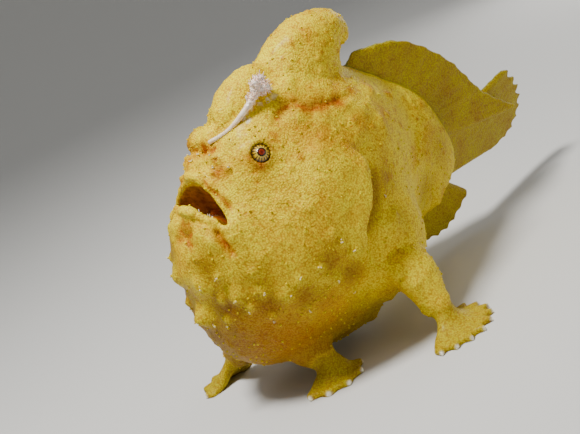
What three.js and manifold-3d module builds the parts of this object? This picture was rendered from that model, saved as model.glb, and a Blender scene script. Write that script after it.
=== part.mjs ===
// A yellow frogfish sitting on its four limbs, life size, as a still museum model.
// Millimetres. The fish is drawn in a frame of its own: x to its left, y from the
// snout to the tail, z towards its back. STANCE then leans it and lifts its nose, so
// that all four feet stand on one level floor at z = 0.
import * as THREE from 'three';
import { mergeVertices } from 'three/addons/utils/BufferGeometryUtils.js';
import Module from 'manifold-3d';

const wasm = await Module();
wasm.setup();

// Driving dimensions
const GAP = 0.3;
const FLATNESS = 0.06;
const LEAN = 15;
const NOSE_UP = 21;
const FLOOR_DROP = 106;
const YELLOW = 0xe2b714;
const DEEP_YELLOW = 0xc98e12;
const PALE = 0xe9dcc0;

const vec = (x, y, z) => new THREE.Vector3(x, y, z);
const lerp = THREE.MathUtils.lerp;
const radians = THREE.MathUtils.degToRad;

// Solids from closed meshes, and back
function solid(geometry) {
  const bare = geometry.clone();
  for (const name of Object.keys(bare.attributes)) {
    if (name !== 'position') bare.deleteAttribute(name);
  }
  const merged = mergeVertices(bare, 1e-4);
  return new wasm.Manifold(new wasm.Mesh({
    numProp: 3,
    vertProperties: new Float32Array(merged.attributes.position.array),
    triVerts: new Uint32Array(merged.index.array),
  }));
}

function geometryOf(manifold) {
  const { vertProperties, triVerts } = manifold.getMesh();
  const geometry = new THREE.BufferGeometry();
  geometry.setAttribute('position', new THREE.BufferAttribute(vertProperties, 3));
  geometry.setIndex(new THREE.BufferAttribute(triVerts, 1));
  return geometry;
}

// The largest closed surface of a cut or fused solid
function largest(manifold) {
  const pieces = manifold.decompose();
  return pieces.reduce((best, piece) => (piece.volume() > best.volume() ? piece : best));
}

const fuse = (...solids) => solids.reduce((all, next) => all.add(next));

// A smooth tube with rounded ends: path points, and one [half width, half depth] for each.
// The depth lies along the up vector.
function limb(points, sizes, { up = vec(0, 0, 1), sides = 12, steps = 14 } = {}) {
  const path = new THREE.CatmullRomCurve3(points);
  const widths = new THREE.CatmullRomCurve3(sizes.map(([a, b]) => vec(a, b, 0)));
  const positions = [];
  const index = [];
  for (let i = 0; i <= steps; i++) {
    const along = i / steps;
    const centre = path.getPoint(along);
    const tangent = path.getTangent(along);
    const side = new THREE.Vector3().crossVectors(tangent, up).normalize();
    const depth = new THREE.Vector3().crossVectors(side, tangent).normalize();
    const half = widths.getPoint(along);
    for (let j = 0; j < sides; j++) {
      const turn = (j / sides) * Math.PI * 2;
      positions.push(...centre.clone()
        .addScaledVector(side, half.x * Math.cos(turn))
        .addScaledVector(depth, half.y * Math.sin(turn)).toArray());
    }
  }
  const ends = [path.getPoint(0), path.getPoint(1)];
  const capLift = [sizes[0], sizes.at(-1)].map(([a, b]) => 0.6 * Math.min(a, b));
  ends[0].addScaledVector(path.getTangent(0), -capLift[0]);
  ends[1].addScaledVector(path.getTangent(1), capLift[1]);
  positions.push(...ends[0].toArray(), ...ends[1].toArray());
  const first = (steps + 1) * sides;
  for (let j = 0; j < sides; j++) {
    const k = (j + 1) % sides;
    for (let i = 0; i < steps; i++) {
      const a = i * sides + j;
      const b = i * sides + k;
      index.push(a, b, a + sides, b, b + sides, a + sides);
    }
    const last = steps * sides;
    index.push(first, k, j, first + 1, last + j, last + k);
  }
  return closed(positions, index);
}

// A geometry from a point list, with its faces turned outwards
function closed(positions, index) {
  const geometry = new THREE.BufferGeometry();
  geometry.setAttribute('position', new THREE.Float32BufferAttribute(positions, 3));
  geometry.setIndex(index);
  let volume = 0;
  const p = (i) => vec(...positions.slice(3 * i, 3 * i + 3));
  for (let i = 0; i < index.length; i += 3) {
    volume += p(index[i]).dot(p(index[i + 1]).cross(p(index[i + 2])));
  }
  if (volume < 0) {
    for (let i = 0; i < index.length; i += 3) {
      [index[i], index[i + 1]] = [index[i + 1], index[i]];
    }
    geometry.setIndex(index);
  }
  return geometry;
}

// A fin: rays fan from a root curve to a tip curve, with a web between them. Both faces
// carry the rays as ridges, and the rays reach past the web at the margin.
function fin({ root, tip, bow = () => vec(0, 0, 0), rays, across = 4, rows = 5,
  rootHalf, webHalf, ridge, scallop }) {
  const columns = rays * across;
  const faces = [[], []];
  const rayAt = (s) => (0.5 + 0.5 * Math.cos(2 * Math.PI * (rays * s - 0.5))) ** 1.5;
  const surface = (s, t) => {
    const reach = 1 - scallop * (1 - rayAt(s));
    const k = t * reach;
    return root(s).lerp(tip(s), k).add(bow(s, k));
  };
  const step = 1e-3;
  for (let i = 0; i <= columns; i++) {
    const s = i / columns;
    const edge = Math.min(1, 4 * Math.min(s, 1 - s) * rays / 3 + 0.35);
    for (let j = 0; j <= rows; j++) {
      const t = j / rows;
      const here = surface(s, t);
      const alongS = surface(Math.min(1, s + step), t).sub(surface(Math.max(0, s - step), t));
      const alongT = surface(s, Math.min(1, t + step)).sub(surface(s, Math.max(0, t - step)));
      const normal = alongS.cross(alongT).normalize();
      const web = lerp(rootHalf, webHalf, t ** 0.6) * edge;
      const half = web + ridge * rayAt(s) * Math.sin(Math.PI * Math.min(0.78, 0.15 + 0.75 * t));
      faces[0].push(here.clone().addScaledVector(normal, half));
      faces[1].push(here.clone().addScaledVector(normal, -half));
    }
  }
  const wide = rows + 1;
  const count = (columns + 1) * wide;
  const positions = faces.flat().flatMap((p) => p.toArray());
  const index = [];
  const quad = (a, b, c, d) => index.push(a, b, c, a, c, d);
  for (let i = 0; i < columns; i++) {
    for (let j = 0; j < rows; j++) {
      const a = i * wide + j;
      quad(a, a + wide, a + wide + 1, a + 1);
      quad(a + count, a + count + 1, a + count + wide + 1, a + count + wide);
    }
    const near = i * wide;
    const far = i * wide + rows;
    quad(near, near + count, near + wide + count, near + wide);
    quad(far, far + wide, far + wide + count, far + count);
  }
  for (let j = 0; j < rows; j++) {
    const last = columns * wide + j;
    quad(j, j + 1, j + 1 + count, j + count);
    quad(last, last + count, last + 1 + count, last + 1);
  }
  return closed(positions, index);
}

// The flesh of the body: rounded masses that run into one another. size holds the half
// width, half length and half height; pitch tips a mass nose up; pair sets one each side.
const FLESH = [
  { at: [0, 97, 0], size: [44, 53, 72], pitch: 0, blend: 0 },
  { at: [0, 64, -32], size: [37, 36, 42], pitch: 0, blend: 16 },
  { at: [0, 70, 28], size: [28, 38, 44], pitch: 0, blend: 18 },
  { at: [0, 46, 12], size: [22, 21, 24], pitch: 15, blend: 14 },
  { at: [0, 34, -6], size: [21, 16, 24], pitch: -22, blend: 12 },
  { at: [0, 134, 18], size: [20, 55, 44], pitch: -9, blend: 18 },
  { at: [0, 170, 13], size: [9.5, 24, 16], pitch: 0, blend: 14 },
  { at: [16, 50, -10], size: [18, 20, 30], pitch: 0, blend: 18, pair: true },
  { at: [30, 72, 2], size: [22, 24, 38], pitch: 0, blend: 18, pair: true },
  { at: [37, 112, -14], size: [16, 21, 24], pitch: 0, blend: 14, pair: true },
  { at: [17, 50, 33], size: [8, 11, 10], pitch: 0, blend: 16, pair: true },
];

// Signed depth of a point in one mass, negative inside
function massDepth(mass, x, y, z) {
  const turn = radians(mass.pitch);
  const dy = y - mass.at[1];
  const dz = z - mass.at[2];
  const cos = Math.cos(turn);
  const sin = Math.sin(turn);
  const [rx, ry, rz] = mass.size;
  const qx = (x - mass.at[0]) / rx;
  const qy = (dy * cos + dz * sin) / ry;
  const qz = (-dy * sin + dz * cos) / rz;
  const k0 = Math.hypot(qx, qy, qz);
  const k1 = Math.hypot(qx / rx, qy / ry, qz / rz);
  return k1 > 0 ? (k0 * (k0 - 1)) / k1 : -Math.min(rx, ry, rz);
}

function bodyDepth(x, y, z) {
  let depth = Infinity;
  for (const mass of FLESH) {
    const d = massDepth(mass, mass.pair ? Math.abs(x) : x, y, z);
    const k = mass.blend;
    const h = k > 0 && Number.isFinite(depth) ? Math.max(k - Math.abs(depth - d), 0) / k : 0;
    depth = Math.min(depth, d) - (h * h * k) / 4;
  }
  return depth;
}

// The body as one closed mesh: a rounded box grid drawn in onto the flesh
const BODY_GRID = [13, 26, 20];
const BODY_LINE = { from: vec(0, 62, 2), to: vec(0, 168, 16) };
const FARTHEST = 120;
const MARCH = 2;
const HALVINGS = 14;
function bodySolid(offset) {
  const grid = mergeVertices(bareBox(2, 2, 2, ...BODY_GRID), 1e-5);
  const place = grid.attributes.position;
  for (let i = 0; i < place.count; i++) {
    const bx = place.getX(i);
    const by = place.getY(i);
    const bz = place.getZ(i);
    const sx = bx * Math.sqrt(1 - by * by / 2 - bz * bz / 2 + by * by * bz * bz / 3);
    const sy = by * Math.sqrt(1 - bz * bz / 2 - bx * bx / 2 + bz * bz * bx * bx / 3);
    const sz = bz * Math.sqrt(1 - bx * bx / 2 - by * by / 2 + bx * bx * by * by / 3);
    const along = (Math.sin(sy * Math.PI / 2) + 1) / 2;
    const from = BODY_LINE.from.clone().lerp(BODY_LINE.to, along);
    const ray = vec(sx * 0.9, sy, sz * 1.1).normalize();
    let out = FARTHEST;
    while (out > 0 && bodyDepth(from.x + ray.x * out, from.y + ray.y * out,
      from.z + ray.z * out) > offset) out -= MARCH;
    let low = out;
    let high = out + MARCH;
    for (let n = 0; n < HALVINGS; n++) {
      const mid = (low + high) / 2;
      const d = bodyDepth(from.x + ray.x * mid, from.y + ray.y * mid, from.z + ray.z * mid);
      if (d > offset) high = mid;
      else low = mid;
    }
    from.addScaledVector(ray, low);
    place.setXYZ(i, from.x, from.y, from.z);
  }
  return solid(grid);
}

function bareBox(...sizes) {
  const box = new THREE.BoxGeometry(...sizes);
  box.deleteAttribute('normal');
  box.deleteAttribute('uv');
  return box;
}

const body = bodySolid(0);
const bodyRoom = bodySolid(GAP);

// The stance: how the fish frame lies on the floor
const stance = new THREE.Matrix4().makeTranslation(0, 0, FLOOR_DROP)
  .multiply(new THREE.Matrix4().makeRotationX(-radians(NOSE_UP)))
  .multiply(new THREE.Matrix4().makeRotationY(radians(LEAN)));
const unstance = stance.clone().invert();

// The fish-frame point over x, y that stands this high above the floor
function overFloor(x, y, height) {
  const flat = vec(x, y, 0).applyMatrix4(stance);
  const up = vec(0, 0, 1).transformDirection(stance).z;
  return vec(x, y, (height - flat.z) / up);
}

// A turned ellipsoid
function ball(at, size, pitch = 0, around = [16, 10]) {
  const geometry = new THREE.SphereGeometry(1, ...around);
  geometry.scale(...size);
  geometry.rotateX(radians(pitch));
  geometry.translate(...at);
  return solid(geometry);
}

// Everything above the floor, for level soles
const aboveFloor = solid(bareBox(600, 600, 400).translate(0, 0, 200).applyMatrix4(unstance));

// The point where a ray from inside the body leaves its surface
function onBody(from, ray) {
  let low = 0;
  let high = FARTHEST;
  const aim = ray.clone().normalize();
  const at = (t) => from.clone().addScaledVector(aim, t);
  for (let n = 0; n < 2 * HALVINGS; n++) {
    const mid = (low + high) / 2;
    const p = at(mid);
    if (bodyDepth(p.x, p.y, p.z) > 0) high = mid;
    else low = mid;
  }
  return at(low);
}

// The lips, from the middle to the left corner: [x, y, z] as drawn, then set on the flesh
const UPPER_LIP = [[0, 26.5, 22], [6, 27.5, 19.8], [12, 29.5, 15.8], [18, 32, 9.5], [22, 34.6, 2]];
const LOWER_LIP = [[0, 18.6, 12], [7, 20.2, 12], [14, 25, 9], [20, 30.6, 4], [22.5, 34, -0.5]];
const UPPER_HALF = 1.9;
const LOWER_HALF = 1.7;
const THROAT = { y: 46, z: 2, narrow: 0.35 };
const throatOf = (x) => vec(x * THROAT.narrow, THROAT.y, THROAT.z);
function lipLine(half) {
  const all = [...half.slice(1).reverse().map(([x, y, z]) => [-x, y, z]), ...half];
  const set = all.map(([x, y, z]) => {
    const from = throatOf(x);
    return onBody(from, vec(x, y, z).sub(from));
  });
  return new THREE.CatmullRomCurve3(set);
}
const upperLip = lipLine(UPPER_LIP);
const lowerLip = lipLine(LOWER_LIP);

function lipTube(line, half, grow = 0) {
  const points = [];
  const sizes = [];
  const count = 12;
  for (let i = 0; i <= count; i++) {
    const s = i / count;
    const swell = 0.55 + 0.45 * Math.sin(Math.PI * s);
    points.push(line.getPoint(s));
    sizes.push([half * swell + grow, half * swell + grow]);
  }
  return solid(limb(points, sizes, { up: vec(0, -0.7, 0.7), sides: 6, steps: 18 }));
}

// The hollow of the mouth: from between the lips in to the throat, a little wider inside
function mouthHollow() {
  const positions = [];
  const index = [];
  const stations = 20;
  const ring = 7;
  for (let i = 0; i <= stations; i++) {
    const s = lerp(0.015, 0.985, i / stations);
    const u = upperLip.getPoint(s);
    const l = lowerLip.getPoint(s);
    const throat = throatOf((u.x + l.x) / 2);
    const out = u.clone().add(l).multiplyScalar(0.5).sub(throat).normalize().multiplyScalar(14);
    const open = vec(0, 0, 2.5 * Math.sin(Math.PI * s));
    const loop = [u.clone().add(out), u, u.clone().lerp(throat, 0.5).add(open), throat,
      l.clone().lerp(throat, 0.5).sub(open), l, l.clone().add(out)];
    for (const p of loop) positions.push(...p.toArray());
  }
  for (let i = 0; i < stations; i++) {
    for (let j = 0; j < ring; j++) {
      const a = i * ring + j;
      const b = i * ring + (j + 1) % ring;
      index.push(a, b, a + ring, b, b + ring, a + ring);
    }
  }
  const last = stations * ring;
  for (let j = 1; j < ring - 1; j++) {
    index.push(0, j + 1, j, last, last + j, last + j + 1);
  }
  return solid(closed(positions, index));
}

// The room of the lower jaw: under the gape and in front of the throat, as [y, z] at the
// midline; the sides hang lower, down to the corners of the mouth
const JAW_PROFILE = [[36, 9], [-10, 38], [-60, 38], [-60, -60], [-4, -45]];
const JAW_HANG = 0.0175;
function jawRegion(shift) {
  const shape = new THREE.Shape(JAW_PROFILE.map(([y, z]) => new THREE.Vector2(y, z)));
  const width = 120;
  const geometry = new THREE.ExtrudeGeometry(shape,
    { depth: width, steps: 16, bevelEnabled: false });
  geometry.translate(0, 0, -width / 2);
  geometry.applyMatrix4(new THREE.Matrix4().makeBasis(vec(0, 1, 0), vec(0, 0, 1), vec(1, 0, 0)));
  const place = geometry.attributes.position;
  for (let i = 0; i < place.count; i++) {
    const x = place.getX(i);
    place.setXYZ(i, x, place.getY(i) + shift, place.getZ(i) - JAW_HANG * x * x);
  }
  return solid(geometry);
}

// A ring lying on the flesh round a point, facing along its outward line
function ringOn(at, face, radius, tube, [around, through]) {
  const geometry = new THREE.TorusGeometry(radius, tube, through, around);
  geometry.applyQuaternion(new THREE.Quaternion().setFromUnitVectors(vec(0, 0, 1), face));
  geometry.translate(at.x, at.y, at.z);
  return solid(geometry);
}

const group = new THREE.Group();
function add(name, manifold, color, roughness = 0.5) {
  const mesh = new THREE.Mesh(geometryOf(largest(manifold).simplify(FLATNESS)),
    new THREE.MeshStandardMaterial({ color, roughness, metalness: 0 }));
  mesh.name = name;
  group.add(mesh);
}

// Eyes: balls sunk in their mounds, with a fleshy lid ring round each
const EYE = { inside: [14, 49, 31], face: [0.78, -0.42, 0.46], radius: 5.4, proud: 2.4 };
const LID = { radius: 5.2, tube: 1.4, lift: 2.9 };
const NOSTRIL = { inside: [4, 45, 24], face: [0.2, -0.72, 0.66], radius: 1.7, tube: 0.9 };
const sides = [1, -1];
const across = ([x, y, z], side) => vec(x * side, y, z);
const eyes = sides.map((side) => {
  const face = across(EYE.face, side).normalize();
  const centre = onBody(across(EYE.inside, side), face)
    .addScaledVector(face, EYE.proud - EYE.radius);
  const lids = ringOn(centre.clone().addScaledVector(face, LID.lift), face, LID.radius, LID.tube,
    [18, 6]);
  return { side, centre, lids };
});
const eyeball = (centre, grow) => ball(centre.toArray(), Array(3).fill(EYE.radius + grow), 0,
  [16, 10]);
const nostrils = sides.map((side) => {
  const face = across(NOSTRIL.face, side).normalize();
  return ringOn(onBody(across(NOSTRIL.inside, side), face), face, NOSTRIL.radius, NOSTRIL.tube,
    [10, 6]);
});

const trunk = body.subtract(mouthHollow());
const HEAD_BACK = 76;
const TAIL_FRONT = 160;
const JAW_GAP = 0.4;
const jaw = trunk.add(lipTube(lowerLip, LOWER_HALF)).intersect(jawRegion(0));
const skull = fuse(trunk.trimByPlane([0, -1, 0], -(HEAD_BACK - GAP / 2)),
  lipTube(upperLip, UPPER_HALF), ...nostrils, ...eyes.map((eye) => eye.lids))
  .subtract(jawRegion(JAW_GAP))
  .subtract(lipTube(lowerLip, LOWER_HALF, GAP))
  .subtract(fuse(...eyes.map((eye) => eyeball(eye.centre, GAP))));
const torso = trunk.trimByPlane([0, 1, 0], HEAD_BACK + GAP / 2)
  .trimByPlane([0, -1, 0], -(TAIL_FRONT - GAP / 2));
const peduncle = trunk.trimByPlane([0, 1, 0], TAIL_FRONT + GAP / 2);

add('head', skull, YELLOW);
add('lower_jaw', jaw, YELLOW);
add('torso', torso, YELLOW);
add('tail', peduncle, YELLOW);
for (const { side, centre } of eyes) {
  add(side > 0 ? 'eye_left' : 'eye_right', eyeball(centre, 0), DEEP_YELLOW, 0.2);
}

// The fleshy second and third spines of the back
const SECOND = {
  path: [[0, 36, 36], [0, 42, 46], [0, 49, 58], [0, 58, 66], [0, 65, 68]],
  sizes: [[7, 6], [9, 9], [11, 10], [10, 9], [7, 6]],
};
const THIRD = {
  path: [[0, 87, 56], [0, 88, 72], [0, 95, 83], [0, 104, 88], [0, 112, 85]],
  sizes: [[20, 30], [18, 24], [14, 17], [10, 10], [6, 6]],
};
function spine({ path, sizes }, grow, count) {
  const thick = sizes.map(([a, b]) => [a + grow, b + grow]);
  return solid(limb(path.map((p) => vec(...p)), thick, { up: vec(0, -0.7, 0.7), sides: count }));
}
const secondRoom = spine(SECOND, GAP, 12);
add('second_spine', spine(SECOND, 0, 12).subtract(bodyRoom), YELLOW);
add('third_spine', spine(THIRD, 0, 14).subtract(bodyRoom).subtract(secondRoom), YELLOW);

// The fishing rod of the brow, folded back beside the second spine, and its ragged lure
const ROD = [[2.5, 31, 41], [9.5, 37, 47], [14, 43, 56], [15, 48, 63]];
const ROD_HALF = [[1.2, 1.2], [1.2, 1.2], [1.7, 1.5], [2, 1.8]];
const LURE = [[15, 49, 65, 3.2], [17, 52, 66, 2.4], [14.5, 51, 69, 2.8], [16, 47, 68, 2.2]];
const rod = solid(limb(ROD.map((p) => vec(...p)), ROD_HALF, { sides: 8, steps: 12 }));
const lure = LURE.map(([x, y, z, r]) => ball([x, y, z], [r, r, r], 0, [8, 6]));
add('illicium', fuse(rod, ...lure).subtract(bodyRoom).subtract(secondRoom), PALE);

// Upright fins
const along = (...points) => {
  const curve = new THREE.CatmullRomCurve3(points.map((p) => vec(...p)));
  return (s) => curve.getPoint(s);
};
const DORSAL = {
  root: along([0, 112, 62], [0, 148, 52], [0, 172, 38], [0, 188, 26]),
  tip: along([0, 120, 77], [0, 153, 81], [0, 191, 69], [0, 222, 49], [0, 256, 37]),
  rays: 12, rows: 5, rootHalf: 5, webHalf: 0.7, ridge: 0.6, scallop: 0.02,
};
const dorsal = solid(fin(DORSAL));
const dorsalRoom = solid(fin({
  ...DORSAL, rootHalf: DORSAL.rootHalf + GAP, webHalf: DORSAL.webHalf + GAP,
}));
add('dorsal_fin', dorsal.subtract(bodyRoom).subtract(spine(THIRD, GAP, 14)), YELLOW);
const caudal = solid(fin({
  root: along([0, 184, 25], [0, 188, 13], [0, 184, 1]),
  tip: along([-10, 252, 60], [-14, 270, 49], [-16, 276, 35], [-14, 266, 21], [-10, 246, 12]),
  rays: 9, across: 2, rows: 5, rootHalf: 4, webHalf: 0.6, ridge: 0.7, scallop: 0.06,
}));
add('caudal_fin', caudal.subtract(bodyRoom).subtract(dorsalRoom), YELLOW);
const anal = solid(fin({
  root: along([0, 150, -8], [0, 168, -2], [0, 184, 4]),
  tip: along([0, 168, -34], [0, 196, -28], [0, 214, -8]),
  rays: 7, across: 2, rows: 4, rootHalf: 4, webHalf: 0.7, ridge: 0.7, scallop: 0.05,
}));
add('anal_fin', anal.subtract(bodyRoom).subtract(caudal), YELLOW);

// Limbs: an arm or leg, and a splayed foot whose rays end on the floor
const ANKLE = 11;
const HUB = 4;
const TIP_HEIGHT = 1;
const ROUNDING = 0.14;
const ARCH = 5;
function footFan({ at, reach, from, to, side, rays }) {
  const hub = (s, radius, height) => {
    const turn = radians(lerp(from, to, s));
    return overFloor(side * (at[0] + radius * Math.cos(turn)),
      at[1] + radius * Math.sin(turn), height);
  };
  return solid(fin({
    root: (s) => hub(s, HUB, ANKLE),
    tip: (s) => hub(s, reach * (1 - ROUNDING + ROUNDING * Math.sin(Math.PI * s)), TIP_HEIGHT),
    bow: (s, t) => vec(0, 0, -ARCH * Math.sin(Math.PI * t ** 0.8)),
    rays, across: 2, rows: 5, rootHalf: 3, webHalf: 1.2, ridge: 1.2, scallop: 0.2,
  })).intersect(aboveFloor);
}

const ARM_HALF = [[13, 16], [10, 13], [8, 9], [9, 6]];
const LEG_HALF = [[12, 14], [10, 10], [8, 6]];
const LIMBS = [
  { name: 'pectoral', side: 1, at: [68, 116], reach: 27, from: -50, to: 105, rays: 9,
    arm: [[34, 108, -16], [54, 111, -22], [64, 115, -34]] },
  { name: 'pectoral', side: -1, at: [66, 128], reach: 27, from: -50, to: 105, rays: 9,
    arm: [[34, 108, -16], [56, 116, -32], [66, 126, -56]] },
  { name: 'pelvic', side: 1, at: [32, 78], reach: 20, from: -85, to: 70, rays: 5,
    arm: [[16, 66, -50], [24, 72, -62]] },
  { name: 'pelvic', side: -1, at: [32, 70], reach: 20, from: -85, to: 70, rays: 5,
    arm: [[16, 64, -50], [25, 67, -68]] },
];
for (const part of LIMBS) {
  const { name, side, at, arm } = part;
  const word = side > 0 ? 'left' : 'right';
  const isArm = name === 'pectoral';
  const thick = isArm ? ARM_HALF : LEG_HALF;
  const path = arm.map(([x, y, z]) => vec(side * x, y, z));
  path.push(overFloor(side * at[0], at[1], ANKLE));
  const shaft = (grow) => solid(limb(path, thick.map(([a, b]) => [a + grow, b + grow]),
    { up: vec(0, 1, 0), sides: 12, steps: 10 }));
  add(`${name}_${isArm ? 'arm' : 'leg'}_${word}`, shaft(0).subtract(bodyRoom)
    .intersect(aboveFloor), YELLOW);
  add(`${name}_fin_${word}`, footFan(part).subtract(bodyRoom).subtract(shaft(GAP)), YELLOW);
}

// Stand the fish on the floor, with the middle of its outline over the origin
group.applyMatrix4(stance);
group.updateMatrixWorld(true);
const middle = new THREE.Box3().setFromObject(group, true).getCenter(new THREE.Vector3());
group.applyMatrix4(new THREE.Matrix4().makeTranslation(-middle.x, -middle.y, 0));
export default group;
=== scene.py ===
import math
import random
from collections import namedtuple

import bmesh
import bpy
import numpy as np
from mathutils import Matrix, Vector, noise
from mathutils.bvhtree import BVHTree
from mathutils.kdtree import KDTree


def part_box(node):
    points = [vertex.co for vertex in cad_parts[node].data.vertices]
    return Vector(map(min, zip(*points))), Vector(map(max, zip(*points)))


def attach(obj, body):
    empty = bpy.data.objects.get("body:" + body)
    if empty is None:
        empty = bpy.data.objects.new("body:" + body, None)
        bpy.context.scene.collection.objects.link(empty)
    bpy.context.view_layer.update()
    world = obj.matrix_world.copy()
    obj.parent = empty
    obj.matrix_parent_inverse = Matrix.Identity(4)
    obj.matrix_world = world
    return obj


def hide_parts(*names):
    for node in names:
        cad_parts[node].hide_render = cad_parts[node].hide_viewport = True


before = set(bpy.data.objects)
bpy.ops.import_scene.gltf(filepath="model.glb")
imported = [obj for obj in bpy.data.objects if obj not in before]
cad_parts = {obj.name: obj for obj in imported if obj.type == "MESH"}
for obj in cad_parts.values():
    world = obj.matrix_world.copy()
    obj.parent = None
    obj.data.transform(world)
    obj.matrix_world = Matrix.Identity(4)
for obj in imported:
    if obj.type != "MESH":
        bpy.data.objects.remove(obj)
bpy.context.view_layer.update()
MM = 0.001

# The fish's own frame, in mm: x to its left, y from snout to tail, z towards its back.
# It leans and lifts its nose by these angles. The left eye's centre and gaze are given, and
# those of the right eye mirror them.
LEAN = math.radians(15)
NOSE_UP = math.radians(21)
EYE_CENTRE = Vector((23.92, 43.66, 36.85))
EYE_GAZE = Vector((0.78, -0.42, 0.46))
EYE_RADIUS = 5.4
CORNEA_BULGE = 0.06
LEFT = 1
RIGHT = -1
SIDES = (LEFT, RIGHT)


def stand_matrix():
    """The turn, shift and scale from the fish's own frame in mm to the world in metres."""
    turn = Matrix.Rotation(-NOSE_UP, 4, "X") @ Matrix.Rotation(LEAN, 4, "Y")
    low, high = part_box("eye_left")
    eye = (Vector(low) + Vector(high)) / 2
    return Matrix.Translation(eye - turn @ (EYE_CENTRE * MM)) @ turn @ Matrix.Scale(MM, 4)


STAND = stand_matrix()
STAND_TURN = STAND.to_3x3().normalized()


def on_side(place, side):
    """A place or direction given for the fish's left, on its left or mirrored to its right."""
    return Vector((place[0] * side, place[1], place[2]))


def eye_turn(side):
    """The turn in the world that points a Z axis where the eye of this side looks."""
    gaze = STAND_TURN @ on_side(EYE_GAZE, side)
    return gaze.normalized().to_track_quat("Z", "Y").to_matrix()


# The photograph's camera, in the fish's frame: its angle to the side and above, its distance
# in mm, and the pixel at which it sees the point AIM. NEAREST_SEEN is in metres.
CAMERA_TURN = math.radians(51)
CAMERA_RISE = math.radians(14.5)
CAMERA_AWAY = 500
AIM = Vector((0, 90, 10))
AIM_PIXEL = (305, 190)
PICTURE = (580, 434)
PIXELS_PER_MM = 2.0
SENSOR_WIDTH = 36
NEAREST_SEEN = 0.01


def set_camera():
    """The photograph's view: the camera is placed in the fish's frame and turns with it."""
    back = Vector((math.sin(CAMERA_TURN) * math.cos(CAMERA_RISE),
                   -math.cos(CAMERA_TURN) * math.cos(CAMERA_RISE), math.sin(CAMERA_RISE)))
    right = Vector((math.cos(CAMERA_TURN), math.sin(CAMERA_TURN), 0))
    up = back.cross(right)
    aside = (AIM_PIXEL[0] - PICTURE[0] / 2) / PIXELS_PER_MM
    above = (PICTURE[1] / 2 - AIM_PIXEL[1]) / PIXELS_PER_MM
    eye = AIM + back * CAMERA_AWAY - right * aside - up * above
    bpy.ops.object.select_all(action="DESELECT")
    bpy.ops.object.camera_add()
    camera = bpy.context.object
    turn = STAND_TURN @ Matrix((right, up, back)).transposed()
    camera.matrix_world = Matrix.Translation(STAND @ eye) @ turn.to_4x4()
    camera.data.sensor_width = SENSOR_WIDTH
    camera.data.lens = SENSOR_WIDTH * PIXELS_PER_MM * CAMERA_AWAY / PICTURE[0]
    camera.data.clip_start = NEAREST_SEEN
    bpy.context.scene.camera = camera


def pixel_ray(u, v):
    """Where the camera stands and the direction in which it sees a pixel, in the world."""
    camera = bpy.context.scene.camera.matrix_world
    focal = PIXELS_PER_MM * CAMERA_AWAY
    ray = Vector(((u - PICTURE[0] / 2) / focal, (PICTURE[1] / 2 - v) / focal, -1))
    return camera.translation, (camera.to_3x3() @ ray).normalized()


set_camera()

# Materials. The sizes of the skin's patterns are in mm. Its grains are drawn a little
# coarser than in life, so that they show.
BLOTCH_SIZE = 16
PATCH_SIZE = 5
SPECKLE_SIZE = 3
FLECK_SIZE = 1.3
GRAIN_SIZE = 0.9
GRAIN_DEPTH = 0.4
FRINGE_SPOKES = 17
FRINGE_REACH = 12
IRIS_SPOKES = 8
FLESH_CLOUD_SIZE = 5
LURE_FLECK_SIZE = 2.2
TOOTH_CLOUD_SIZE = 2
# what the sculpting leaves on each point of the skin for its material to read
MARKS = ("orange", "pale", "margin", "lump", "painted_shade_and_brown_ground", "inner", "fin")
# the sockets, by number, of a Mix node that mixes colours
AMOUNT = 0
BELOW = 6
ABOVE = 7
MIXED = 2


def linear(hex_colour):
    """An sRGB hex colour as linear red, green, blue, alpha."""
    parts = [int(hex_colour[i:i + 2], 16) / 255 for i in (1, 3, 5)]
    return tuple(c / 12.92 if c <= 0.04045 else ((c + 0.055) / 1.055) ** 2.4
                 for c in parts) + (1.0,)


def repeats(size):
    """A pattern's scale, its repeats in a metre, from its real size in mm."""
    return 1000 / size


def feed(tree, node, inputs):
    """Links each input to another node's output, or sets it to a number, colour or vector."""
    for name, value in inputs.items():
        if isinstance(value, bpy.types.NodeSocket):
            tree.links.new(value, node.inputs[name])
        else:
            node.inputs[name].default_value = value


def add_node(tree, kind, inputs=None, stops=(), **settings):
    """Adds a shader node with its settings and inputs. The stops, for a colour ramp, are
    places and hex colours."""
    node = tree.nodes.new("ShaderNode" + kind)
    for name, value in settings.items():
        setattr(node, name, value)
    for i, (place, colour) in enumerate(stops):
        if i > 1:
            node.color_ramp.elements.new(place)
        node.color_ramp.elements[i].position = place
        node.color_ramp.elements[i].color = linear(colour)
    feed(tree, node, inputs or {})
    return node


def new_material(name):
    """A material with its tree of nodes and its shader, all other inputs at their defaults."""
    material = bpy.data.materials.new(name)
    material.use_nodes = True
    tree = material.node_tree
    tree.nodes.clear()
    shader = add_node(tree, "BsdfPrincipled")
    add_node(tree, "OutputMaterial", {"Surface": shader.outputs["BSDF"]})
    return material, tree, shader


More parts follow.
